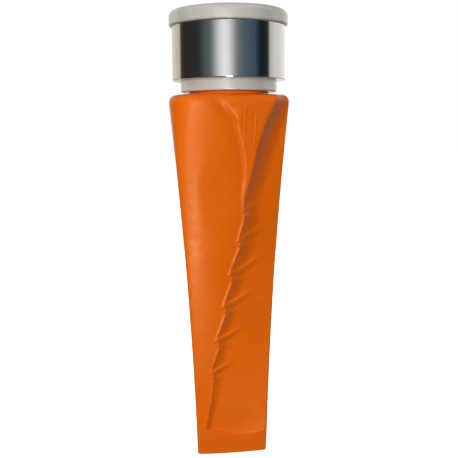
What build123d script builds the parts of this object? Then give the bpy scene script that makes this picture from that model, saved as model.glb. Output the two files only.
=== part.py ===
from build123d import *
import math
import os

# Twisted felling wedge: a forged body, a plastic striking insert and a steel ring.
# Millimetres, +Z up. The origin is the middle of the cutting edge, and the front is -Y.
# The back is the front turned half a turn about Z, so only front outlines are written.
# "Depth" below always means how far a point stands in front of the middle plane.

# Heights
OVERALL = 224.4
SHOULDER_Z = 183.5
BOSS_TOP_Z = 185.3
FLANGE_UNDERSIDE_Z = 217.1

# Forged body: half width, as a shallow curve of the height
EDGE_HALF_WIDTH = 17.85
WIDTH_SLOPE = 0.02648
WIDTH_CURVE = 0.0002127

# Forged body: its sides lean in by this much per millimetre of depth
SIDE_DRAFT = 0.056

# Forged body: depth of the full-height corner, and the twist of the cutting edge
EDGE_DEPTH = 4.2
FACE_TAPER = 0.1363
EDGE_TWIST_SLOPE = 0.145
TWIST_END_Z = 125.0
FACE_CROWN = 0.0075
CROWN_FULL_Z = 90.0
CROWN_POWER = 1.5

# Forged body: rounding of the full-height corner, which opens out towards the shoulder
CORNER_RADIUS = 1.5
CORNER_GROWTH = 11.5
CORNER_START_Z = 90.0
SHOULDER_RADIUS = 4.0
SHOULDER_STEPS = 4

# Splitting recess: its wall as (z, x) points, the raised lip beside it and its floor
WALL_LINE = [
    (17, -12.7), (43, -8.7), (94, 1.2), (125, 7.0),
    (145, 10.2), (160, 14.0), (172, 18.4), (184, 24.8),
]
WALL_HEIGHT = [(0, 0), (11, 0), (13, 1.4), (45, 2.4), (120, 5.0), (184, 8.0)]
WALL_RUN = 0.6
SHORTEST_WALL_RUN = 0.6
LIP_WIDTH = 2.1
LIP_FOOT = 0.8
LIP_START_Z = 13.0
LIP_FADE = 16.0
RIGHT_CORNER_DEPTH = [
    (0, -1.0), (12, 1.1), (25, 1.2), (75, 0.6),
    (105, 1.2), (130, 3.2), (155, 6.3), (184, 10.5),
]

# Flange that widens above the apex: its foot and its ridge as (z, x) points
APEX_Z = 146.0
FLANGE_FOOT = [(146, 6.2), (153, 5.7), (162, 3.8), (171, 1.4), (184, -7.5)]
FLANGE_RIDGE = [(146, 7.9), (150, 7.7), (160, 6.0), (173, 3.5), (177, 4.6), (184, 11.0)]
FLANGE_FALL = 0.26

# Depth of the flange's plane, as (z, depth) points at this x
FLANGE_X = 10.0
FLANGE_DEPTH = [(146, 17.5), (157, 19.7), (173, 23.2), (184, 25.4)]

# Barbs, which stop the wedge from springing back
BARB_COUNT = 6
BARB_TOP_Z = 130.0
BARB_PITCH = 16.9
BARB_BITE = 2.4
BARB_BITE_LOSS = 0.25
BARB_STEP = 1.8
BARB_RISE = 0.53
BARB_START = -1.5
BARB_LENGTH = 11.0
BARB_END_SIZE = 0.15
BARB_HEIGHT = 1.3
BARB_TAIL = 9.0
BARB_ROOT = 1.0

# Heights of the loft's sections below and above the barbs
TIP_LEVELS = [0, 11, 13, 17, 30]
HEAD_LEVELS = [137, 146, 154, 160, 166, 173, 177, 179.5]

# Boss and socket on top of the body
BOSS_RADIUS = 19.65
SOCKET_RADIUS = 15.05
SOCKET_DEPTH = 36.0
SOCKET_CHAMFER = 1.0

# Striking insert
TENON_RADIUS = 15.0
TENON_LENGTH = 34.0
TENON_CHAMFER = 2.0
COLLAR_RADIUS = 23.65
COLLAR_CHAMFER = 0.5
FLANGE_RADIUS = 29.2
FLANGE_TOP_RADIUS = 2.8
FLANGE_RIM_RADIUS = 0.8

# Retaining ring
RING_OUTER_RADIUS = 27.75
RING_CLEARANCE = 0.05
RING_BOTTOM_Z = 191.0
RING_CHAMFER = 0.35


def along(line, z):
    """Value of a (z, value) outline at height z: straight between its points, level beyond them."""
    if z <= line[0][0]:
        return line[0][1]
    for (z_low, low), (z_high, high) in zip(line, line[1:]):
        if z <= z_high:
            return low + (high - low) * (z - z_low) / (z_high - z_low)
    return line[-1][1]


def half_width(z):
    return EDGE_HALF_WIDTH + WIDTH_SLOPE * z + WIDTH_CURVE * z * z


def corner_depth(z):
    return EDGE_DEPTH + FACE_TAPER * z


def corner_radius(z):
    rise = max(0.0, z - CORNER_START_Z) / (SHOULDER_Z - CORNER_START_Z)
    return CORNER_RADIUS + CORNER_GROWTH * rise**3


def twist_slope(z):
    return EDGE_TWIST_SLOPE * max(0.0, 1 - z / TWIST_END_Z)


def crown(z):
    return FACE_CROWN * min(1.0, z / CROWN_FULL_Z) ** CROWN_POWER


def face_depth(x, z):
    """Depth of the full-height face: flat and twisted at the edge, crowned above."""
    run = x + half_width(z)
    return corner_depth(z) - twist_slope(z) * run - crown(z) * run * run


def face_slope(x, z):
    """How fast the full-height face's depth changes with x."""
    return -twist_slope(z) - 2 * crown(z) * (x + half_width(z))


def flange_depth(x, z):
    """Depth of the flange's plane, which falls towards the right."""
    return along(FLANGE_DEPTH, z) - FLANGE_FALL * (x - FLANGE_X)


def drafted(point, z):
    """The point moved in by the lean of the sides, which fades towards the middle."""
    x, y = point
    share = (x / half_width(z)) ** 4
    return (x * (1 - SIDE_DRAFT * abs(y) * share / half_width(z)), y)


def barb_z(index):
    """Height of a barb's tip, counted from the lowest."""
    return BARB_TOP_Z - BARB_PITCH * (BARB_COUNT - 1 - index)


def bite(z):
    """How far the barbs notch the wall: most at each tip, fading to none under the next one."""
    if z < barb_z(0) - BARB_STEP or z > barb_z(BARB_COUNT) - BARB_STEP:
        return 0.0
    fade = BARB_PITCH - BARB_STEP
    index, above_tip = divmod(z - barb_z(0), BARB_PITCH)
    if above_tip <= fade:
        return (BARB_BITE - BARB_BITE_LOSS * index) * (1 - above_tip / fade)
    return (BARB_BITE - BARB_BITE_LOSS * (index + 1)) * (above_tip - fade) / BARB_STEP


def face_outline(z):
    """Corner points (x, depth) of the front from the flange's foot to the recess floor."""
    top_x = along(WALL_LINE, z) - bite(z)
    if z >= APEX_Z:
        foot_x = along(FLANGE_FOOT, z)
        ridge_x = along(FLANGE_RIDGE, z)
        ridge_depth = flange_depth(ridge_x, z)
        top_depth = flange_depth(top_x, z)
    else:
        ridge_x = top_x - LIP_WIDTH
        foot_x = ridge_x - LIP_FOOT
        level = min(1.0, max(0.0, (z - LIP_START_Z) / LIP_FADE))
        ridge_depth = face_depth(ridge_x, z)
        top_depth = ridge_depth + (face_depth(top_x, z) - ridge_depth) * (1 - level)
    wall_height = along(WALL_HEIGHT, z)
    floor_x = top_x + max(WALL_RUN * wall_height, SHORTEST_WALL_RUN)
    return [
        (foot_x, face_depth(foot_x, z)),
        (ridge_x, ridge_depth),
        (top_x, top_depth),
        (floor_x, top_depth - wall_height),
    ]


def floor_depth(x, z):
    """Depth of the recess floor, straight from the wall's foot to the right side."""
    foot_x, foot_depth = face_outline(z)[3]
    share = (x - foot_x) / (half_width(z) - foot_x)
    return foot_depth + (along(RIGHT_CORNER_DEPTH, z) - foot_depth) * share


def half_section(z):
    """Edges of the front half of the section of height z, drawn in the plane z=0."""
    width = half_width(z)
    radius = corner_radius(z)
    mid = radius * (1 - math.sqrt(0.5))
    start = (-width, -(corner_depth(z) - radius))
    middle = (-width + mid, -(corner_depth(z) - mid))
    end = (-width + radius, -face_depth(-width + radius, z))
    points = [(x, -depth) for x, depth in face_outline(z)]
    bend_x = (end[0] + points[0][0]) / 2
    bend_y = end[1] - face_slope(end[0], z) * (bend_x - end[0])
    right = (width, -along(RIGHT_CORNER_DEPTH, z))
    next_start = (width, corner_depth(z) - radius)
    side = (width, (right[1] + next_start[1]) / 2)
    corners = [drafted(point, z) for point in points + [right, side, next_start]]
    start, middle, end = [drafted(point, z) for point in (start, middle, end)]
    edges = [ThreePointArc(start, middle, end), Bezier(end, (bend_x, bend_y), corners[0])]
    return edges + [Line(a, b) for a, b in zip(corners, corners[1:])]


def section(z, height, inset=0.0):
    """Whole section of height z, placed at the given height and shrunk by the inset."""
    front = half_section(z)
    back = [Rotation(0, 0, 180) * edge for edge in front]
    size = 1 - inset / half_width(z)
    return make_face(Pos(0, 0, height) * Wire(front + back).scale(size))


def blade():
    """Loft from the cutting edge to the foot of the shoulder rounding."""
    barb_levels = []
    for index in range(BARB_COUNT):
        barb_levels += [barb_z(index) - BARB_STEP, barb_z(index)]
    levels = TIP_LEVELS + barb_levels + HEAD_LEVELS
    return loft([section(z, z) for z in levels], ruled=True)


def shoulder():
    """Rounded top of the body, from the last full section to the shoulder plane."""
    base_z = HEAD_LEVELS[-1]
    sections = []
    for step in range(SHOULDER_STEPS + 1):
        angle = math.radians(90) * step / SHOULDER_STEPS
        height = base_z + (SHOULDER_Z - base_z) * math.sin(angle)
        inset = SHOULDER_RADIUS * (1 - math.cos(angle))
        sections.append(section(base_z, height, inset))
    return loft(sections, ruled=True)


def barb(tip_z):
    """Ridge across the recess floor: steep above, fading below and towards its right end."""
    crest_z = tip_z - BARB_STEP
    wall_foot_x = face_outline(crest_z)[3][0]
    profiles = []
    for reach, size in ((BARB_START, 1.0), (BARB_LENGTH, BARB_END_SIZE)):
        x = wall_foot_x + reach
        z = crest_z + BARB_RISE * reach
        high_z = z + BARB_STEP * size
        low_z = z - BARB_TAIL * size
        outline = [
            (floor_depth(x, high_z) - BARB_ROOT, high_z),
            (floor_depth(x, high_z), high_z),
            (floor_depth(x, z) + BARB_HEIGHT * size, z),
            (floor_depth(x, low_z), low_z),
            (floor_depth(x, low_z) - BARB_ROOT, low_z),
        ]
        points = [Vector(x, -depth, height) for depth, height in outline]
        profiles.append(make_face(Polyline(*points, close=True)))
    return loft(profiles, ruled=True)


def wedge_body():
    body = blade() + shoulder()
    for index in range(BARB_COUNT):
        front = barb(barb_z(index))
        body += front
        body += Rotation(0, 0, 180) * front
    boss_height = BOSS_TOP_Z - HEAD_LEVELS[-1]
    body += Pos(0, 0, HEAD_LEVELS[-1] + boss_height / 2) * Cylinder(BOSS_RADIUS, boss_height)
    socket = Pos(0, 0, BOSS_TOP_Z - SOCKET_DEPTH / 2) * Cylinder(SOCKET_RADIUS, SOCKET_DEPTH)
    mouth = Pos(0, 0, BOSS_TOP_Z - SOCKET_CHAMFER / 2) * Cone(
        SOCKET_RADIUS, SOCKET_RADIUS + SOCKET_CHAMFER, SOCKET_CHAMFER
    )
    return body - socket - mouth


def turned(outline):
    """Solid of revolution about Z from (radius, z) points."""
    points = [(radius, 0, z) for radius, z in outline]
    return revolve(make_face(Polyline(*points, close=True)), Axis.Z)


def circles_at(solid, radius, z):
    """Circular edges of the given radius and height, for rounding."""
    edges = solid.edges().filter_by(GeomType.CIRCLE)
    return [e for e in edges if abs(e.radius - radius) < 0.01 and abs(e.center().Z - z) < 0.01]


def impact_insert():
    tenon_bottom = BOSS_TOP_Z - TENON_LENGTH
    body = turned(
        [
            (0, tenon_bottom),
            (TENON_RADIUS - TENON_CHAMFER, tenon_bottom),
            (TENON_RADIUS, tenon_bottom + TENON_CHAMFER),
            (TENON_RADIUS, BOSS_TOP_Z),
            (COLLAR_RADIUS - COLLAR_CHAMFER, BOSS_TOP_Z),
            (COLLAR_RADIUS, BOSS_TOP_Z + COLLAR_CHAMFER),
            (COLLAR_RADIUS, FLANGE_UNDERSIDE_Z),
            (FLANGE_RADIUS, FLANGE_UNDERSIDE_Z),
            (FLANGE_RADIUS, OVERALL),
            (0, OVERALL),
        ]
    )
    body = fillet(circles_at(body, FLANGE_RADIUS, OVERALL), FLANGE_TOP_RADIUS)
    return fillet(circles_at(body, FLANGE_RADIUS, FLANGE_UNDERSIDE_Z), FLANGE_RIM_RADIUS)


def retaining_ring():
    bore_radius = COLLAR_RADIUS + RING_CLEARANCE
    low = RING_BOTTOM_Z
    high = FLANGE_UNDERSIDE_Z
    return turned(
        [
            (bore_radius, low + RING_CHAMFER),
            (bore_radius + RING_CHAMFER, low),
            (RING_OUTER_RADIUS - RING_CHAMFER, low),
            (RING_OUTER_RADIUS, low + RING_CHAMFER),
            (RING_OUTER_RADIUS, high - RING_CHAMFER),
            (RING_OUTER_RADIUS - RING_CHAMFER, high),
            (bore_radius + RING_CHAMFER, high),
            (bore_radius, high - RING_CHAMFER),
        ]
    )


os.makedirs("parts", exist_ok=True)
for node in (wedge_body, impact_insert, retaining_ring):
    export_step(node(), "parts/" + node.__name__ + ".step")
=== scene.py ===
import math

import bpy
import numpy as np
from mathutils import Matrix, Vector


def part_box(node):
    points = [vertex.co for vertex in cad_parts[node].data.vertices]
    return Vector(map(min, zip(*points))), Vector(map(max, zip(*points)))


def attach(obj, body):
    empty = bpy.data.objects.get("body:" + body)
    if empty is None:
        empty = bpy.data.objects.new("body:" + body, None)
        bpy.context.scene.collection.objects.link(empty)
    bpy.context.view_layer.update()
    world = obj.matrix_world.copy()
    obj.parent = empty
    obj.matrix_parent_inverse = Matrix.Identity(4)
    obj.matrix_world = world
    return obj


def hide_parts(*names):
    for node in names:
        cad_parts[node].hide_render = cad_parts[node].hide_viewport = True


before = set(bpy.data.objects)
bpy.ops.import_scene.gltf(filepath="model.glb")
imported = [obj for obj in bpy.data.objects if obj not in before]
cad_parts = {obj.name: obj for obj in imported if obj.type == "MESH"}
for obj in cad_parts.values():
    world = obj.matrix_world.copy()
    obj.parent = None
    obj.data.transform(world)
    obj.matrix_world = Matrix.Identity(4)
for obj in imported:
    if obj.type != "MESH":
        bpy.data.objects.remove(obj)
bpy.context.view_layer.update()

# Lengths are written in millimetres and turned into metres where a mesh or light is made.
# "Depth" means how far a point stands in front of the middle plane, towards -Y.
MM = 0.001


def node_box_mm(node):
    low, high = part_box(node)
    return low / MM, high / MM


BODY_LOW, BODY_HIGH = node_box_mm("wedge_body")
INSERT_LOW, INSERT_HIGH = node_box_mm("impact_insert")
RING_LOW, RING_HIGH = node_box_mm("retaining_ring")

# Heights that the pieces share
BOSS_TOP_Z = BODY_HIGH.z
BOSS_HEIGHT = 1.8
SHOULDER_Z = BOSS_TOP_Z - BOSS_HEIGHT
SHOULDER_RADIUS = 4.0


# ---------------------------------------------------------------- body shape

# Half the width is a curve in z. The face tapers, is twisted near the cutting edge and crowned above it.
EDGE_HALF_WIDTH = 17.85
WIDTH_SLOPE = 0.02648
WIDTH_CURVE = 0.0002127
EDGE_DEPTH = 4.2
FACE_TAPER = 0.1363
EDGE_TWIST_SLOPE = 0.145
TWIST_END_Z = 125.0
FACE_CROWN = 0.0075
CROWN_FULL_Z = 90.0

# The left corner grows towards the shoulder, and the sides draw in away from the middle plane
CORNER_RADIUS = 1.5
CORNER_GROWTH = 11.5
CORNER_START_Z = 90.0
RIGHT_RADIUS = 1.0
SIDE_DRAFT = 0.056

# The outlines below run up the body: (height, value) points, joined by smooth curves.
# Edge of the recess, where the face ends and the wall starts
WALL_LINE = [
    (0, -15.0), (17, -12.7), (31, -10.2), (43, -8.7), (60, -5.5), (94, 1.2),
    (125, 7.0), (132, 7.2), (145, 10.2), (160, 14.0), (172, 18.4), (184, 24.8),
]
# How far the recess floor lies below the face at the wall, and its depth at the right-hand side
WALL_HEIGHT = [
    (0, 1.7), (14, 1.8), (23, 2.0), (45, 2.4), (85, 3.4), (120, 5.0), (150, 6.5), (184, 8.0),
]
RIGHT_DEPTH = [
    (0, 1.0), (12, 1.05), (25, 1.2), (45, 0.95), (75, 0.6),
    (105, 1.2), (130, 3.2), (155, 6.3), (184, 10.5),
]
# Foot and top of the bevel beside the flange
VALLEY_LINE = [
    (100, 20), (122, 9), (134, 5.2), (145, 6.2), (153, 5.7),
    (162, 3.8), (171, 1.4), (176, -2.1), (184, -7.5),
]
RIDGE_LINE = [
    (120, 8.0), (134, 6.8), (143, 7.8), (150, 7.7), (160, 6.0),
    (168, 4.0), (173, 3.5), (177, 4.6), (184, 11),
]
# The flange falls to the right from the bevel's top, with this depth at FLANGE_X
FLANGE_X = 10.0
FLANGE_FALL = 0.26
FLANGE_DEPTH = [
    (0, -4.0), (100, 10.5), (120, 13.9), (134, 15.8), (146, 17.5), (157, 19.7), (173, 23.2), (184, 25.4),
]
FLANGE_START_Z = 116.0
FLANGE_GROWTH = 16.0
LEAST_BEVEL = 1.5
# A shallow groove along the valley, and how far it reaches to its left and right
GROOVE_DEPTH = [(60, 0.0), (100, 0.1), (130, 0.25), (150, 0.4), (165, 0.6), (176, 0.8), (184, 0.8)]
GROOVE_LEFT = 5.0
GROOVE_RIGHT = [(60, 1.0), (165, 1.4), (176, 4.0), (184, 6.0)]
GROOVE_SHARPNESS = 1.4
# A low swelling on the bevel, near its top
SWELL_PLACE = (4.2, 173.5)
SWELL_SIZE = 4.5
SWELL_HEIGHT = 0.45
# The narrow lip beside the recess edge, which the barbs push to the left
LIP_WIDTH = 1.3
VALLEY_BITE = 0.8
VALLEY_SIDE = 3.0
VALLEY_SOFTNESS = 0.15
# Steepness of the wall, the fillet at its foot, and the roundings of the flange and the recess edge
WALL_SLOPE = [(0, 1.0), (40, 1.1), (60, 1.35), (110, 1.5), (135, 1.8), (184, 2.0)]
WALL_FILLET = [
    (0, 0.8), (16, 1.2), (32, 2.2), (45, 3.0), (85, 4.2), (120, 6.0), (150, 9.0), (184, 11.0),
]
EDGE_SOFTNESS = [(0, 0.4), (140, 0.4), (165, 0.5), (175, 0.9), (184, 2.0)]
EDGE_ROUND = [(0, 0.3), (40, 0.4), (130, 0.5), (160, 0.9), (184, 1.4)]
# Right of the wall's foot the head is lifted clear of the floor, so that only the floor shows
HEAD_LIFT = 3.0

# Each barb: height of its tip, how far it bites into the edge, length of its ridge, and the
# height of the ridge as a share of the wall
BARBS = [
    (45.4, 2.1, 13, 0.75),
    (62.4, 2.4, 17, 0.6),
    (79.8, 2.3, 19, 0.55),
    (96.2, 2.4, 19, 0.5),
    (113.2, 1.8, 14, 0.4),
    (127.6, 0.7, 10, 0.2),
]
# The edge runs back over BARB_STEP below a tip, and slowly above it, up to the next barb's step
BARB_STEP = 3.4
LAST_BARB_RUN = 14.0
# A ridge rises and curls up to the right, is full over its tongue, and has a broader flank below
BARB_RISE = 0.33
BARB_CURL = 0.012
BARB_TONGUE = 2.4
BARB_FLANK = 0.8
BARB_FLANK_GROWTH = 0.4
BARB_LOWER_FLANK = 2.0
BARB_THINNING = 0.4
NIB_SIZE = 1.0
NIB_HEIGHT = 0.5
NIB_BELOW = (1.0, -2.3)

# The recess ends in a step down from the cutting edge's land, which curls up at its left
END_Z = 11.2
END_CURL = 3.2
END_CURL_RUN = 12.8
END_CURL_LIMIT = 1.6
END_FALL = 1.0
END_HOLLOW = 1.6
END_HOLLOW_Z = 26.0
END_HOLLOW_RUN = 12.0
# Below this height the floor is very slightly crowned
CROWNED_FLOOR_Z = 80.0
CROWNED_FLOOR_RUN = 66.0
FLOOR_PROUD = 0.1


def smoothed(points):
    """A curve through (z, value) points, without corners at them and without swinging past them."""
    z = np.array([p[0] for p in points], float)
    v = np.array([p[1] for p in points], float)
    chord = np.diff(v) / np.diff(z)
    before, after = chord[:-1], chord[1:]
    steady = before * after > 0
    slope = np.concatenate([chord[:1], np.zeros(len(z) - 2), chord[-1:]])
    slope[1:-1][steady] = 2 * before[steady] * after[steady] / (before[steady] + after[steady])

    def at(height):
        h = np.clip(height, z[0], z[-1])
        i = np.clip(np.searchsorted(z, h) - 1, 0, len(z) - 2)
        span = z[i + 1] - z[i]
        t = (h - z[i]) / span
        return (
            (2 * t**3 - 3 * t**2 + 1) * v[i]
            + (t**3 - 2 * t**2 + t) * span * slope[i]
            + (3 * t**2 - 2 * t**3) * v[i + 1]
            + (t**3 - t**2) * span * slope[i + 1]
        )

    return at


wall_line = smoothed(WALL_LINE)
wall_height = smoothed(WALL_HEIGHT)
wall_slope = smoothed(WALL_SLOPE)
right_depth = smoothed(RIGHT_DEPTH)
valley_line = smoothed(VALLEY_LINE)
ridge_line = smoothed(RIDGE_LINE)
flange_depth = smoothed(FLANGE_DEPTH)
wall_fillet = smoothed(WALL_FILLET)
edge_softness = smoothed(EDGE_SOFTNESS)
edge_round = smoothed(EDGE_ROUND)
groove_depth = smoothed(GROOVE_DEPTH)
groove_right = smoothed(GROOVE_RIGHT)


def smoothstep(t):
    t = np.clip(t, 0.0, 1.0)
    return t * t * (3 - 2 * t)


def soft_max(a, b, radius):
    """The higher of two surfaces, with the inner corner between them filled."""
    h = np.clip(0.5 + 0.5 * (a - b) / radius, 0.0, 1.0)
    return b + (a - b) * h + radius * h * (1 - h)


def soft_min(a, b, radius):
    """The lower of two surfaces, with the outer corner between them rounded."""
    return -soft_max(-a, -b, radius)


def half_width(z):
    return EDGE_HALF_WIDTH + WIDTH_SLOPE * z + WIDTH_CURVE * z * z


def corner_radius(z):
    rise = np.maximum(0.0, z - CORNER_START_Z) / (SHOULDER_Z - CORNER_START_Z)
    return CORNER_RADIUS + CORNER_GROWTH * rise**3


def face_depth(x, z):
    """The full-height face: a flat twisted edge below, crowned away from the corner above."""
    run = x + half_width(z)
    twist = EDGE_TWIST_SLOPE * np.maximum(0.0, 1 - z / TWIST_END_Z)
    crown = FACE_CROWN * np.minimum(1.0, z / CROWN_FULL_Z) ** 1.5
    past_corner = np.maximum(0.0, run - corner_radius(z))
    return EDGE_DEPTH + FACE_TAPER * z - twist * run - crown * past_corner**2


def edge_bite(z):
    """How far the saw-toothed edge stands left of the wall line at height z."""
    bite = np.zeros_like(z)
    for i, (tip_z, depth, _, _) in enumerate(BARBS):
        next_z = BARBS[i + 1][0] - BARB_STEP if i + 1 < len(BARBS) else tip_z + LAST_BARB_RUN
        below = smoothstep((z - tip_z + BARB_STEP) / BARB_STEP)
        above = np.clip(1 - (z - tip_z) / (next_z - tip_z), 0.0, 1.0)
        bite = np.maximum(bite, depth * below * above)
    return bite


def barb_ridges(x, z, height):
    """Height of the barb ridges over the recess floor: highest at the edge, fading to the right."""
    ridges = np.zeros_like(x)
    for tip_z, depth, length, share in BARBS:
        run = np.maximum(0.0, x - wall_line(tip_z) + depth)
        crest_z = tip_z + BARB_RISE * run + BARB_CURL * run**2
        thinning = 1 - BARB_THINNING * np.clip(run / length, 0.0, 1.0)
        upper = (BARB_FLANK + BARB_FLANK_GROWTH * height) * thinning
        flank = np.where(z > crest_z, upper, BARB_LOWER_FLANK * upper)
        across = np.maximum(0.0, 1 - ((z - crest_z) / flank) ** 2) ** 2
        along = np.clip(1 - (run - BARB_TONGUE) / (length - BARB_TONGUE), 0.0, 1.0) ** 2
        ridges = np.maximum(ridges, share * height * across * along)
    return ridges


def tip_nibs(x, z):
    """Two small nibs on the edge at each barb: one on its tip and one just below it."""
    nibs = np.zeros_like(x)
    for tip_z, bite, _, _ in BARBS:
        tip_x = wall_line(tip_z) - bite
        for dx, dz in ((0.0, 0.0), NIB_BELOW):
            away = ((x - tip_x - dx) ** 2 + (z - tip_z - dz) ** 2) / NIB_SIZE**2
            nibs = nibs + NIB_HEIGHT * np.maximum(0.0, 1 - away) ** 1.5
    return nibs


def flange_top(x, z, valley):
    """Depth of the face and the flange: a bevel up from the valley, then a slope down to the right."""
    flange = flange_depth(z) - FLANGE_FALL * (x - FLANGE_X)
    ridge = ridge_line(z)
    ridge_depth = flange_depth(z) - FLANGE_FALL * (ridge - FLANGE_X)
    valley_depth = face_depth(valley, z)
    grown = smoothstep((z - FLANGE_START_Z) / FLANGE_GROWTH)
    slope = grown * (ridge_depth - valley_depth) / np.maximum(ridge - valley, LEAST_BEVEL)
    bevel = valley_depth + slope * (x - valley) - VALLEY_SIDE * np.maximum(0.0, valley - x)
    top = soft_max(face_depth(x, z), bevel, VALLEY_SOFTNESS)
    return top + grown * (soft_min(top, flange, edge_softness(z)) - top)


def head_surface(x, z, valley):
    """Depth of the face and flange with the valley's groove and the swelling."""
    reach = np.where(x < valley, GROOVE_LEFT, groove_right(z))
    groove = np.maximum(0.0, 1 - np.abs(x - valley) / reach) ** GROOVE_SHARPNESS
    away = ((x - SWELL_PLACE[0]) ** 2 + (z - SWELL_PLACE[1]) ** 2) / SWELL_SIZE**2
    head = flange_top(x, z, valley) - groove_depth(z) * groove
    return head + SWELL_HEIGHT * np.maximum(0.0, 1 - away) ** 2


def recess_floor(x, z, foot_x):
    """Depth of the recess floor, which falls from the wall's foot to the right-hand side."""
    height = wall_height(z)
    foot_depth = face_depth(wall_line(z), z) - height
    share = (x - foot_x) / (half_width(z) - foot_x)
    floor = foot_depth + (right_depth(z) - foot_depth) * share
    hollow = smoothstep((END_HOLLOW_Z - z) / END_HOLLOW_RUN) * np.maximum(0, share * (1 - share))
    crown = smoothstep((CROWNED_FLOOR_Z - z) / CROWNED_FLOOR_RUN) * np.sin(math.pi * np.clip(share, 0, 1))
    floor = floor - END_HOLLOW * hollow
    floor = floor + FLOOR_PROUD * crown
    return floor + barb_ridges(x, np.full_like(x, z), height)


def front_depth(x, z):
    """Depth of the front of the body: face, flange, recess and barbs."""
    x = np.asarray(x, float)
    line = wall_line(z)
    bite = edge_bite(np.full_like(x, z))
    edge_x = line - bite
    foot_x = line + wall_height(z) / wall_slope(z)
    valley = np.minimum(valley_line(z), line - VALLEY_BITE * bite - LIP_WIDTH)
    head = head_surface(x, z, valley) + HEAD_LIFT * np.maximum(0.0, x - foot_x)
    wall = flange_top(edge_x, z, valley) - wall_slope(z) * (x - edge_x)
    recess = soft_max(recess_floor(x, z, foot_x), wall, wall_fillet(z))
    above_end = soft_min(head, recess, edge_round(z)) + tip_nibs(x, np.full_like(x, z))
    face = face_depth(x, z)
    end_z = END_Z + END_CURL * np.clip(-x / END_CURL_RUN, 0, END_CURL_LIMIT) ** 2
    share_up = smoothstep((z - end_z) / END_FALL + 0.5)
    return face + (above_end - face) * share_up


# Points along a section, and how unevenly they are spread: above 1 they crowd at the left end
SIDE_POINTS = 5
CORNER_POINTS = 9
RIGHT_POINTS = 3
FACE_POINTS = 34
FLANGE_POINTS = 14
FLOOR_POINTS = 50
FACE_SPREAD = 0.8
FLOOR_SPREAD = 1.3
DRAFT_POWER = 4


def face_places(z, left, right):
    """Places across the front: spread over the face and flange, and closer together beside the wall."""
    wall_x = wall_line(z)
    ridge_x = min(ridge_line(z), wall_x - LIP_WIDTH)
    face_share = np.linspace(0, 1, FACE_POINTS + 1)[1:] ** FACE_SPREAD
    floor_share = np.linspace(0, 1, FLOOR_POINTS + 1)[1:] ** FLOOR_SPREAD
    face_x = left + (ridge_x - left) * face_share
    flange_x = np.linspace(ridge_x, wall_x, FLANGE_POINTS + 1)[1:]
    floor_x = wall_x + (right - wall_x) * floor_share
    return np.concatenate([face_x, flange_x, floor_x])


def half_loop(z):
    """(x, depth) of the front half of the section at height z, from the left side to the right."""
    width = half_width(z)
    radius = corner_radius(z)
    left_depth = EDGE_DEPTH + FACE_TAPER * z - radius
    back_depth = -(front_depth(np.array([width - RIGHT_RADIUS]), z)[0] - RIGHT_RADIUS)
    share = np.linspace(0, 1, SIDE_POINTS + 2)[1:-1]
    side = np.column_stack([np.full(SIDE_POINTS, -width), back_depth + (left_depth - back_depth) * share])
    turn = np.linspace(0, math.pi / 2, CORNER_POINTS)
    corner_x = -width + radius * (1 - np.cos(turn))
    corner = np.column_stack([corner_x, face_depth(corner_x, z) - radius * (1 - np.sin(turn))])
    face_x = face_places(z, -width + radius, width - RIGHT_RADIUS)
    face = np.column_stack([face_x, front_depth(face_x, z)])
    turn = np.linspace(0, math.pi / 2, RIGHT_POINTS + 1)[1:]
    right_x = width - RIGHT_RADIUS * (1 - np.sin(turn))
    right = np.column_stack([right_x, face[-1, 1] - RIGHT_RADIUS * (1 - np.cos(turn))])
    half = np.vstack([side, corner, face, right])
    half[:, 0] *= 1 - SIDE_DRAFT * np.abs(half[:, 1]) * (half[:, 0] / width) ** DRAFT_POWER / width
    return half


def whole_loop(z, height, inset=0.0):
    """Closed section as (x, y, z) points: the front half and its copy turned half a turn."""
    half = half_loop(z)
    front = np.column_stack([half[:, 0], -half[:, 1]]) * (1 - inset / half_width(z))
    both = np.vstack([front, -front])
    return np.column_stack([both, np.full(len(both), height)])


EDGE_ROUNDING = 0.4
EDGE_ROWS = 3
EDGE_BOW = 0.5
EDGE_BOW_END_Z = 8.0


def edge_loops():
    """Rows that round the rim of the cutting edge's end face."""
    thickness = EDGE_DEPTH - EDGE_TWIST_SLOPE * EDGE_HALF_WIDTH
    loops = []
    for turn in np.linspace(0, math.pi / 2, EDGE_ROWS + 1)[:-1]:
        inset = EDGE_ROUNDING * (1 - math.sin(turn))
        z = EDGE_ROUNDING * (1 - math.cos(turn))
        points = whole_loop(z, z)
        off_middle = points[:, 1] - EDGE_TWIST_SLOPE * points[:, 0]
        points[:, 0] *= 1 - inset / EDGE_HALF_WIDTH
        points[:, 1] = EDGE_TWIST_SLOPE * points[:, 0] + off_middle * (1 - inset / thickness)
        loops.append(points)
    return loops


def bowed(points):
    """The cutting edge is very slightly convex: its ends stand higher than its middle."""
    fade = np.clip(1 - points[:, 2] / EDGE_BOW_END_Z, 0, 1)
    points[:, 2] += EDGE_BOW * fade * (points[:, 0] / EDGE_HALF_WIDTH) ** 2
    return points


def circle_loop(angles, radius, height):
    x = radius * np.cos(angles)
    y = radius * np.sin(angles)
    return np.column_stack([x, y, np.full(len(angles), height)])


# Rows of points up the blade, as (height where they start, step): closest at the fine detail
ROW_STEPS = [(EDGE_ROUNDING, 0.6), (10, 0.18), (15.5, 0.7), (40, 0.45), (134, 0.6)]
SHOULDER_ROWS = 7
SHOULDER_FLAT_SHARES = (0.35, 0.7, 1.0)
BOSS_ROWS = 4
BOSS_RADIUS = 19.65
BOSS_FILLET = 0.7
BOSS_ROUNDING = 0.4
SOCKET_RADIUS = 15.05
SOCKET_CHAMFER = 1.0
SOCKET_DEPTH = 36.0
SOCKET_CONE = 3.0


def row_heights():
    ends = [start for start, _ in ROW_STEPS[1:]] + [SHOULDER_Z - SHOULDER_RADIUS]
    return np.concatenate([np.arange(start, end, step) for (start, step), end in zip(ROW_STEPS, ends)])


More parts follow.
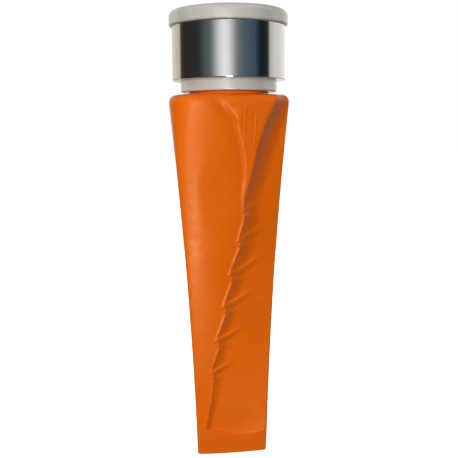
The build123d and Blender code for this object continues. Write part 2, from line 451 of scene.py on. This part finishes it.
def shoulder_loops():
    """Rows over the rounding of the shoulder."""
    loops = []
    for turn in np.linspace(0, math.pi / 2, SHOULDER_ROWS):
        z = SHOULDER_Z - SHOULDER_RADIUS + SHOULDER_RADIUS * math.sin(turn)
        loops.append(whole_loop(z, z, SHOULDER_RADIUS * (1 - math.cos(turn))))
    return loops


def boss_loops(rim, angles):
    """Rows over the flat of the shoulder, the boss's fillet, its side and its rounded top edge."""
    foot = circle_loop(angles, BOSS_RADIUS + BOSS_FILLET, SHOULDER_Z)
    loops = [rim + (foot - rim) * share for share in SHOULDER_FLAT_SHARES]
    turns = np.linspace(0, math.pi / 2, BOSS_ROWS)
    for turn in turns[1:]:
        radius = BOSS_RADIUS + BOSS_FILLET * (1 - math.sin(turn))
        loops.append(circle_loop(angles, radius, SHOULDER_Z + BOSS_FILLET * (1 - math.cos(turn))))
    for turn in turns:
        radius = BOSS_RADIUS - BOSS_ROUNDING * (1 - math.cos(turn))
        loops.append(circle_loop(angles, radius, BOSS_TOP_Z - BOSS_ROUNDING * (1 - math.sin(turn))))
    return loops


def socket_loops(angles):
    floor_z = BOSS_TOP_Z - SOCKET_DEPTH
    steps = (
        (SOCKET_RADIUS + SOCKET_CHAMFER, BOSS_TOP_Z),
        (SOCKET_RADIUS, BOSS_TOP_Z - SOCKET_CHAMFER),
        (SOCKET_RADIUS, BOSS_TOP_Z - SOCKET_DEPTH / 2),
        (SOCKET_RADIUS, floor_z),
        (SOCKET_RADIUS / 2, floor_z - SOCKET_CONE / 2),
    )
    return [circle_loop(angles, radius, z) for radius, z in steps]


def body_loops():
    """All the rows of the body, from the cutting edge up over the boss and down into the socket."""
    blade = edge_loops() + [whole_loop(z, z) for z in row_heights()]
    loops = [bowed(points) for points in blade] + shoulder_loops()
    rim = loops[-1]
    angles = np.arctan2(rim[:, 1], rim[:, 0])
    return loops + boss_loops(rim, angles) + socket_loops(angles)


def mesh_object(name, vertices, faces, material):
    mesh = bpy.data.meshes.new(name)
    mesh.from_pydata([tuple(v) for v in np.asarray(vertices) * MM], [], faces)
    mesh.materials.append(material)
    mesh.polygons.foreach_set("use_smooth", [True] * len(mesh.polygons))
    mesh.update()
    piece = bpy.data.objects.new(name, mesh)
    bpy.context.scene.collection.objects.link(piece)
    return piece


def skin(loops):
    """(vertices, faces) of a closed shell through equal loops, with both ends capped."""
    count = len(loops[0])
    faces = []
    for row in range(len(loops) - 1):
        low, high = row * count, (row + 1) * count
        for i in range(count):
            j = (i + 1) % count
            faces.append((low + i, low + j, high + j, high + i))
    faces.append(tuple(reversed(range(count))))
    last = (len(loops) - 1) * count
    faces.append(tuple(range(last, last + count)))
    return np.vstack(loops), faces


def held(outline, hold=0.3):
    """The outline with extra points near both ends of its long runs, so that flats stay flat."""
    points = []
    for i, here in enumerate(outline):
        points.append(here)
        start = Vector(here)
        run = Vector(outline[(i + 1) % len(outline)]) - start
        if run.length > 4 * hold and i + 1 < len(outline):
            points.append(tuple(start + run.normalized() * hold))
            points.append(tuple(start + run - run.normalized() * hold))
    return points


# A point nearer to the axis than this counts as on it
ON_AXIS = 1e-6


def lathe(name, outline, material, segments=160):
    """Piece turned about Z from (radius, z) points; a closed outline gives a ring."""
    outline = held(outline)
    angles = np.linspace(0, 2 * math.pi, segments, endpoint=False)
    vertices = []
    rings = []
    for radius, z in outline:
        if radius < ON_AXIS:
            rings.append([len(vertices)])
            vertices.append((0, 0, z))
        else:
            rings.append(list(range(len(vertices), len(vertices) + segments)))
            vertices += [(radius * math.cos(a), radius * math.sin(a), z) for a in angles]
    pairs = list(zip(rings, rings[1:]))
    if outline[0][0] > ON_AXIS:
        pairs.append((rings[-1], rings[0]))
    faces = []
    for low, high in pairs:
        for i in range(segments):
            j = (i + 1) % segments
            if len(low) == 1:
                faces.append((low[0], high[j], high[i]))
            elif len(high) == 1:
                faces.append((low[i], low[j], high[0]))
            else:
                faces.append((low[i], low[j], high[j], high[i]))
    return mesh_object(name, vertices, faces, material)


def rounded(corners, steps=5):
    """(radius, z) outline from (radius, z, rounding) corners."""
    outline = []
    for i, (r, z, rounding) in enumerate(corners):
        here = Vector((r, z))
        if rounding == 0:
            outline.append((r, z))
            continue
        before = (Vector(corners[i - 1][:2]) - here).normalized()
        after = (Vector(corners[(i + 1) % len(corners)][:2]) - here).normalized()
        half = before.angle(after) / 2
        centre = here + (before + after).normalized() * (rounding / math.sin(half))
        start = here + before * (rounding / math.tan(half)) - centre
        end = here + after * (rounding / math.tan(half)) - centre
        sweep = start.angle_signed(end)
        for step in range(steps + 1):
            turned = start.copy()
            turned.rotate(Matrix.Rotation(-sweep * step / steps, 2))
            outline.append(tuple(centre + turned))
    return outline


# ---------------------------------------------------------------- materials
# Noise scales are per metre, and bump distances are in metres.

class Nodes:
    """Short names for building a node tree."""

    def __init__(self, tree):
        self.tree = tree

    def add(self, kind, inputs=None, **settings):
        node = self.tree.nodes.new(kind)
        for key, value in settings.items():
            setattr(node, key, value)
        for key, value in (inputs or {}).items():
            if isinstance(value, bpy.types.NodeSocket):
                self.tree.links.new(value, node.inputs[key])
            else:
                node.inputs[key].default_value = value
        return node

    def math(self, operation, a, b=0.0):
        return self.add("ShaderNodeMath", {0: a, 1: b}, operation=operation).outputs[0]

    def noise(self, vector, scale, detail=3.0, roughness=0.5):
        inputs = {"Vector": vector, "Scale": scale, "Detail": detail, "Roughness": roughness}
        return self.add("ShaderNodeTexNoise", inputs).outputs["Fac"]

    def stretch(self, value, low, high, to_low=0.0, to_high=1.0):
        inputs = {"Value": value, "From Min": low, "From Max": high, "To Min": to_low, "To Max": to_high}
        return self.add("ShaderNodeMapRange", inputs).outputs["Result"]

    def mix(self, share, a, b):
        node = self.add("ShaderNodeMix", data_type="RGBA")
        for key, value in ((0, share), (6, a), (7, b)):
            if isinstance(value, bpy.types.NodeSocket):
                self.tree.links.new(value, node.inputs[key])
            else:
                node.inputs[key].default_value = value
        return node.outputs[2]

    def bump(self, height, distance, strength=1.0, normal=None):
        inputs = {"Height": height, "Distance": distance, "Strength": strength}
        if normal is not None:
            inputs["Normal"] = normal
        return self.add("ShaderNodeBump", inputs).outputs["Normal"]


def new_material(name):
    material = bpy.data.materials.new(name)
    material.use_nodes = True
    nodes = Nodes(material.node_tree)
    shader = material.node_tree.nodes["Principled BSDF"]
    place = nodes.add("ShaderNodeTexCoord").outputs["Object"]
    return material, nodes, shader, place


def connect(nodes, shader, **inputs):
    """Link or set the shader's inputs, which are named here with _ for each space."""
    for key, value in inputs.items():
        socket = shader.inputs[key.replace("_", " ")]
        if isinstance(value, bpy.types.NodeSocket):
            nodes.tree.links.new(value, socket)
        else:
            socket.default_value = value


COAT_COLOURS = ((0.865, 0.146, 0.003, 1), (0.905, 0.158, 0.004, 1))
COAT_WORN = (0.93, 0.25, 0.04, 1)
# Colour mixed into the hollows as a painted shade
COAT_PAINTED_SHADE = (0.45, 0.07, 0.008, 1)
COAT_GLOSS_TINT = (1.0, 0.82, 0.5, 1)
PLASTIC_COLOURS = ((0.615, 0.587, 0.53, 1), (0.67, 0.637, 0.58, 1))
STEEL_COLOURS = ((0.60, 0.60, 0.60, 1), (0.66, 0.66, 0.655, 1))


def orange_coat():
    """Semi-gloss orange coat over a forging: faint orange peel, paler edges, and hollows darkened by a
    painted shade and made duller.
    """
    material, nodes, shader, place = new_material("orange_coat")
    cloud = nodes.noise(place, 60.0, 2.0)
    peel = nodes.noise(place, 1400.0, 2.0)
    forging = nodes.noise(place, 260.0, 3.0)
    edge = nodes.add("ShaderNodeNewGeometry").outputs["Pointiness"]
    worn = nodes.stretch(edge, 0.515, 0.56)
    hollow = nodes.stretch(edge, 0.49, 0.45)
    base = nodes.mix(nodes.stretch(cloud, 0.35, 0.65), *COAT_COLOURS)
    base = nodes.mix(nodes.math("MULTIPLY", worn, 0.2), base, COAT_WORN)
    # Painted shade: the hollows are darkened towards the shade colour
    base = nodes.mix(nodes.math("MULTIPLY", hollow, 0.45), base, COAT_PAINTED_SHADE)
    rough = nodes.stretch(forging, 0.3, 0.7, 0.24, 0.31)
    gloss = nodes.stretch(hollow, 0.0, 0.5, 0.4, 0.1)
    normal = nodes.bump(forging, 0.0003, 0.25)
    normal = nodes.bump(peel, 0.00006, 0.5, normal)
    connect(nodes, shader, Base_Color=base, Roughness=rough, Normal=normal)
    connect(nodes, shader, Specular_IOR_Level=gloss, Specular_Tint=COAT_GLOSS_TINT)
    return material


def off_white_plastic():
    """Off-white polyamide: slightly see-through, satin, with faint turning marks."""
    material, nodes, shader, place = new_material("off_white_plastic")
    split = nodes.add("ShaderNodeSeparateXYZ", {0: place})
    square_x = nodes.math("POWER", split.outputs[0], 2.0)
    square_y = nodes.math("POWER", split.outputs[1], 2.0)
    out = nodes.math("SQRT", nodes.math("ADD", square_x, square_y))
    cloud = nodes.noise(place, 90.0, 3.0)
    grain = nodes.noise(place, 2200.0, 2.0)
    across = nodes.add("ShaderNodeCombineXYZ", {0: out, 2: split.outputs[2]}).outputs[0]
    turning = nodes.noise(across, 1600.0, 1.0)
    base = nodes.mix(nodes.stretch(cloud, 0.3, 0.7), *PLASTIC_COLOURS)
    rough = nodes.stretch(cloud, 0.3, 0.7, 0.36, 0.46)
    normal = nodes.bump(turning, 0.00008, 0.35)
    normal = nodes.bump(grain, 0.00004, 0.4, normal)
    connect(nodes, shader, Base_Color=base, Roughness=rough, Normal=normal)
    connect(nodes, shader, Subsurface_Weight=0.25, Subsurface_Scale=0.004)
    connect(nodes, shader, Subsurface_Radius=(1.0, 0.8, 0.6))
    connect(nodes, shader, Coat_Weight=1.0, Coat_Roughness=0.16, Coat_IOR=1.9)
    return material


def bright_steel():
    """Bright steel tube: mirror-like, with fine lines round it and a few soft smears."""
    material, nodes, shader, place = new_material("bright_steel")
    split = nodes.add("ShaderNodeSeparateXYZ", {0: place})
    turn = nodes.math("ARCTAN2", split.outputs[1], split.outputs[0])
    round_it = nodes.math("MULTIPLY", turn, 0.004)
    wrapped = nodes.add("ShaderNodeCombineXYZ", {0: round_it, 2: split.outputs[2]}).outputs[0]
    lines = nodes.noise(wrapped, 5200.0, 2.0)
    smear = nodes.noise(place, 120.0, 3.0)
    base = nodes.mix(smear, *STEEL_COLOURS)
    rough = nodes.stretch(lines, 0.3, 0.7, 0.10, 0.15)
    normal = nodes.bump(lines, 0.00001, 0.3)
    connect(nodes, shader, Base_Color=base, Roughness=rough, Normal=normal, Metallic=1.0)
    return material


def pale_floor():
    """Plain pale floor that glows a little, so that it is as light as the backdrop."""
    material, nodes, shader, _ = new_material("pale_floor")
    connect(nodes, shader, Base_Color=(0.9, 0.9, 0.9, 1), Roughness=0.9, Specular_IOR_Level=0.0)
    connect(nodes, shader, Emission_Color=(1, 1, 1, 1), Emission_Strength=0.95)
    return material


# ---------------------------------------------------------------- pieces

def make_body(material):
    vertices, faces = skin(body_loops())
    body = mesh_object("forged_body", vertices, faces, material)
    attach(body, "wedge")
    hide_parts("wedge_body")


FRAME_CENTRE = (9.9, 168.6)
FRAME_SIZE = (5.2, 20.0)
FRAME_RADIUS = 2.0
FRAME_WIDTH = 1.0
FRAME_HEIGHT = 0.2
FRAME_TILT_DEG = 3.0
# Section of the frame's bar, as (share of its width across, share of its height up)
FRAME_PROFILE = ((-0.5, -0.3), (-0.42, 0.5), (-0.2, 0.95), (0.2, 0.95), (0.42, 0.5), (0.5, -0.3))
FRAME_CORNERS = ((1, 1), (-1, 1), (-1, -1), (1, -1))
FRAME_CORNER_STEPS = 8
FRAME_SIDE_STEPS = 5


def frame_outline():
    """(x, z, outward x, outward z) round a rounded rectangle, about its own centre."""
    half_x = FRAME_SIZE[0] / 2 - FRAME_RADIUS
    half_z = FRAME_SIZE[1] / 2 - FRAME_RADIUS
    points = []
    for quarter, (side_x, side_z) in enumerate(FRAME_CORNERS):
        for step in range(FRAME_CORNER_STEPS + 1):
            angle = math.pi / 2 * (quarter + step / FRAME_CORNER_STEPS)
            out_x, out_z = math.cos(angle), math.sin(angle)
            x = side_x * half_x + FRAME_RADIUS * out_x
            z = side_z * half_z + FRAME_RADIUS * out_z
            points.append((x, z, out_x, out_z))
        next_x, next_z = FRAME_CORNERS[(quarter + 1) % len(FRAME_CORNERS)]
        start_x, start_z = points[-1][:2]
        end_x = next_x * half_x + FRAME_RADIUS * out_x
        end_z = next_z * half_z + FRAME_RADIUS * out_z
        for step in range(1, FRAME_SIDE_STEPS):
            share = step / FRAME_SIDE_STEPS
            x = start_x + (end_x - start_x) * share
            z = start_z + (end_z - start_z) * share
            points.append((x, z, out_x, out_z))
    return points


def frame_loops():
    """The frame's bar as loops round it, lying on the front of the body."""
    tilt = math.radians(FRAME_TILT_DEG)
    loops = []
    for across, rise in FRAME_PROFILE:
        loop = []
        for x, z, out_x, out_z in frame_outline():
            x += out_x * FRAME_WIDTH * across
            z += out_z * FRAME_WIDTH * across
            body_x = FRAME_CENTRE[0] + x * math.cos(tilt) + z * math.sin(tilt)
            body_z = FRAME_CENTRE[1] + z * math.cos(tilt) - x * math.sin(tilt)
            depth = front_depth(np.array([body_x]), body_z)[0] + FRAME_HEIGHT * rise
            loop.append((body_x, -depth, body_z))
        loops.append(loop)
    return loops


def make_raised_frames(material):
    """A plain raised rounded frame on each flange."""
    loops = frame_loops()
    count = len(loops[0])
    vertices = np.array([point for loop in loops for point in loop])
    faces = []
    for row in range(len(loops)):
        low, high = row * count, (row + 1) % len(loops) * count
        for i in range(count):
            j = (i + 1) % count
            faces.append((low + i, high + i, high + j, low + j))
    for name, side in (("raised_frame_front", 1), ("raised_frame_back", -1)):
        frame_piece = mesh_object(name, vertices * (side, side, 1), faces, material)
        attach(frame_piece, "wedge")


# The insert has a cap over the ring, a shank inside the ring and a tenon in the socket
CAP_UNDERSIDE_Z = RING_HIGH.z
CAP_RADIUS = INSERT_HIGH.x
CAP_TOP_RADIUS = 2.8
CAP_BOTTOM_RADIUS = 1.0
CAP_SUPPORT = 0.6
SHANK_RADIUS = 23.65
SHANK_ROUNDING = 0.7
INNER_ROUNDING = 0.2
TENON_RADIUS = 15.0
TENON_CHAMFER = 2.0
TENON_ROUNDING = 0.6
RING_PLAY = 0.05
RING_BORE_ROUNDING = 0.4
RING_ROUNDING = 0.35


def make_insert(material):
    """Plastic insert, from the foot of its tenon round to the middle of the striking face."""
    bottom, top = INSERT_LOW.z, INSERT_HIGH.z
    outline = rounded(
        [
            (0, bottom, 0),
            (TENON_RADIUS - TENON_CHAMFER, bottom, TENON_ROUNDING),
            (TENON_RADIUS, bottom + TENON_CHAMFER, TENON_ROUNDING),
            (TENON_RADIUS, BOSS_TOP_Z, INNER_ROUNDING),
            (SHANK_RADIUS, BOSS_TOP_Z, SHANK_ROUNDING),
            (SHANK_RADIUS, CAP_UNDERSIDE_Z, INNER_ROUNDING),
            (CAP_RADIUS, CAP_UNDERSIDE_Z, CAP_BOTTOM_RADIUS),
            (CAP_RADIUS, top, CAP_TOP_RADIUS),
            (CAP_RADIUS * CAP_SUPPORT, top, 0),
            (0, top, 0),
        ]
    )
    insert = lathe("striking_insert", outline, material)
    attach(insert, "insert")
    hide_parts("impact_insert")


def make_ring(material):
    bore = SHANK_RADIUS + RING_PLAY
    outer = RING_HIGH.x
    low, high = RING_LOW.z, RING_HIGH.z
    outline = rounded(
        [
            (bore, low, RING_BORE_ROUNDING),
            (outer, low, RING_ROUNDING),
            (outer, high, RING_ROUNDING),
            (bore, high, RING_BORE_ROUNDING),
        ]
    )
    ring = lathe("steel_ring", outline, material)
    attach(ring, "ring")
    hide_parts("retaining_ring")


def make_floor():
    """A wide pale floor that casts nothing on the object: no shadow, no bounce and no reflection."""
    bpy.ops.mesh.primitive_circle_add(vertices=96, radius=6.0, fill_type="NGON", location=(0, 0, 0))
    floor = bpy.context.object
    floor.name = "floor"
    floor.data.materials.append(pale_floor())
    floor.visible_glossy = False
    floor.visible_diffuse = False
    floor.visible_shadow = False


# ---------------------------------------------------------------- camera and light

CAMERA_PLACE = (-0.55, -393.6, 164.3)
CAMERA_DOWN_DEG = 6.81
CAMERA_ROLL_DEG = -0.51
CAMERA_LENS = 61.66


def make_camera():
    camera = bpy.data.objects.new("camera", bpy.data.cameras.new("camera"))
    bpy.context.scene.collection.objects.link(camera)
    camera.data.lens = CAMERA_LENS
    camera.data.sensor_width = 36.0
    camera.data.clip_start = 0.01
    tilt = Matrix.Rotation(math.radians(90 - CAMERA_DOWN_DEG), 4, "X")
    roll = Matrix.Rotation(math.radians(CAMERA_ROLL_DEG), 4, "Z")
    camera.matrix_world = Matrix.Translation(Vector(CAMERA_PLACE) * MM) @ tilt @ roll
    bpy.context.scene.camera = camera


# Light of the studio by direction: degrees round from the front, positive to the right, and colour
STUDIO = [
    (-150, (0.85, 0.81, 0.70)),
    (-118, (0.74, 0.69, 0.57)),
    (-111, (0.07, 0.055, 0.045)),
    (-100, (0.04, 0.032, 0.026)),
    (-65, (0.035, 0.036, 0.034)),
    (-40, (0.12, 0.15, 0.165)),
    (-8, (1.18, 1.16, 1.15)),
    (22, (0.17, 0.21, 0.24)),
    (33, (0.10, 0.15, 0.20)),
    (50, (0.07, 0.115, 0.165)),
    (68, (0.01, 0.018, 0.02)),
    (86, (0.02, 0.03, 0.03)),
    (93, (0.72, 0.74, 0.64)),
    (110, (0.90, 0.90, 0.80)),
    (150, (1.10, 1.06, 1.00)),
]
OVERHEAD_LIGHT = (0.35, 0.35, 0.35, 1)
BELOW_LIGHT = (0.03, 0.03, 0.03, 1)
BEHIND_DIMMING = 0.6


def studio_ramp(nodes, along):
    """Colour of the studio by direction, where along runs from 0 to 1 right round."""
    ramp = nodes.add("ShaderNodeValToRGB", {0: along})
    ramp.color_ramp.interpolation = "EASE"
    stops = ramp.color_ramp.elements
    while len(stops) > 1:
        stops.remove(stops[-1])
    stops[0].position = 0.0
    stops[0].color = (*STUDIO[0][1], 1)
    for degrees, colour in STUDIO:
        stop = stops.new(degrees / 360 + 0.5)
        stop.color = (*colour, 1)
    return ramp.outputs["Color"]


def make_studio():
    """Light from all round: bright in front, dark beside it, pale behind, and a plain white backdrop."""
    world = bpy.data.worlds.new("studio")
    bpy.context.scene.world = world
    world.use_nodes = True
    world.node_tree.nodes.clear()
    nodes = Nodes(world.node_tree)
    direction = nodes.add("ShaderNodeTexCoord").outputs["Generated"]
    split = nodes.add("ShaderNodeSeparateXYZ", {0: direction})
    azimuth = nodes.math("ARCTAN2", split.outputs[0], nodes.math("MULTIPLY", split.outputs[1], -1.0))
    around = studio_ramp(nodes, nodes.stretch(azimuth, -math.pi, math.pi))
    overhead = nodes.stretch(split.outputs[2], 0.30, 0.6)
    dome = nodes.mix(overhead, around, OVERHEAD_LIGHT)
    below = nodes.stretch(split.outputs[2], -0.02, -0.20)
    ahead = nodes.stretch(split.outputs[1], 0.15, -0.05, 0.62, 1.0)
    dome = nodes.mix(nodes.math("MULTIPLY", below, ahead), dome, BELOW_LIGHT)
    light_path = nodes.add("ShaderNodeLightPath")
    behind = nodes.stretch(split.outputs[1], -0.05, 0.3)
    soft_behind = nodes.math("MULTIPLY", behind, light_path.outputs["Is Diffuse Ray"])
    strength = nodes.math("SUBTRACT", 1.0, nodes.math("MULTIPLY", soft_behind, BEHIND_DIMMING))
    studio = nodes.add("ShaderNodeBackground", {"Color": dome, "Strength": strength}).outputs[0]
    white = nodes.add("ShaderNodeBackground", {"Color": (1, 1, 1, 1), "Strength": 1.0}).outputs[0]
    seen = light_path.outputs["Is Camera Ray"]
    both = nodes.add("ShaderNodeMixShader", {0: seen, 1: studio, 2: white}).outputs[0]
    nodes.add("ShaderNodeOutputWorld", {"Surface": both})


# What the lamps point at
BODY_MIDDLE = (0, 0, 110)
LEFT_FACE = (-16, -22, 115)


def add_panel(name, place, target, size, watts, colour=(1, 1, 1), only_gloss=False):
    """Soft rectangular lamp. One with only_gloss shows in glossy surfaces but doesn't light the rest."""
    lamp = bpy.data.lights.new(name, "AREA")
    lamp.shape = "RECTANGLE"
    lamp.size, lamp.size_y = size[0] * MM, size[1] * MM
    lamp.energy = watts
    lamp.color = colour
    panel = bpy.data.objects.new(name, lamp)
    bpy.context.scene.collection.objects.link(panel)
    away = (Vector(place) - Vector(target)) * MM
    panel.location = Vector(place) * MM
    panel.rotation_euler = away.to_track_quat("Z", "Y").to_euler()
    panel.visible_camera = False
    panel.visible_glossy = only_gloss
    panel.visible_diffuse = not only_gloss


def make_lamps():
    add_panel("key_panel", (-185, -700, 190), BODY_MIDDLE, (300, 300), 3.60)
    add_panel("rear_fill", (120, 700, 200), BODY_MIDDLE, (300, 300), 2.2)
    add_panel("sheen_strip", (-12, -600, 95), BODY_MIDDLE, (90, 150), 0.42, only_gloss=True)
    add_panel("low_strip", (62, -607, -135), LEFT_FACE, (40, 110), 0.52, (1.0, 0.90, 0.72), only_gloss=True)


make_camera()
make_studio()
make_floor()
coat = orange_coat()
make_body(coat)
make_raised_frames(coat)
make_insert(off_white_plastic())
make_ring(bright_steel())
make_lamps()

bpy.context.scene.view_settings.view_transform = "Standard"
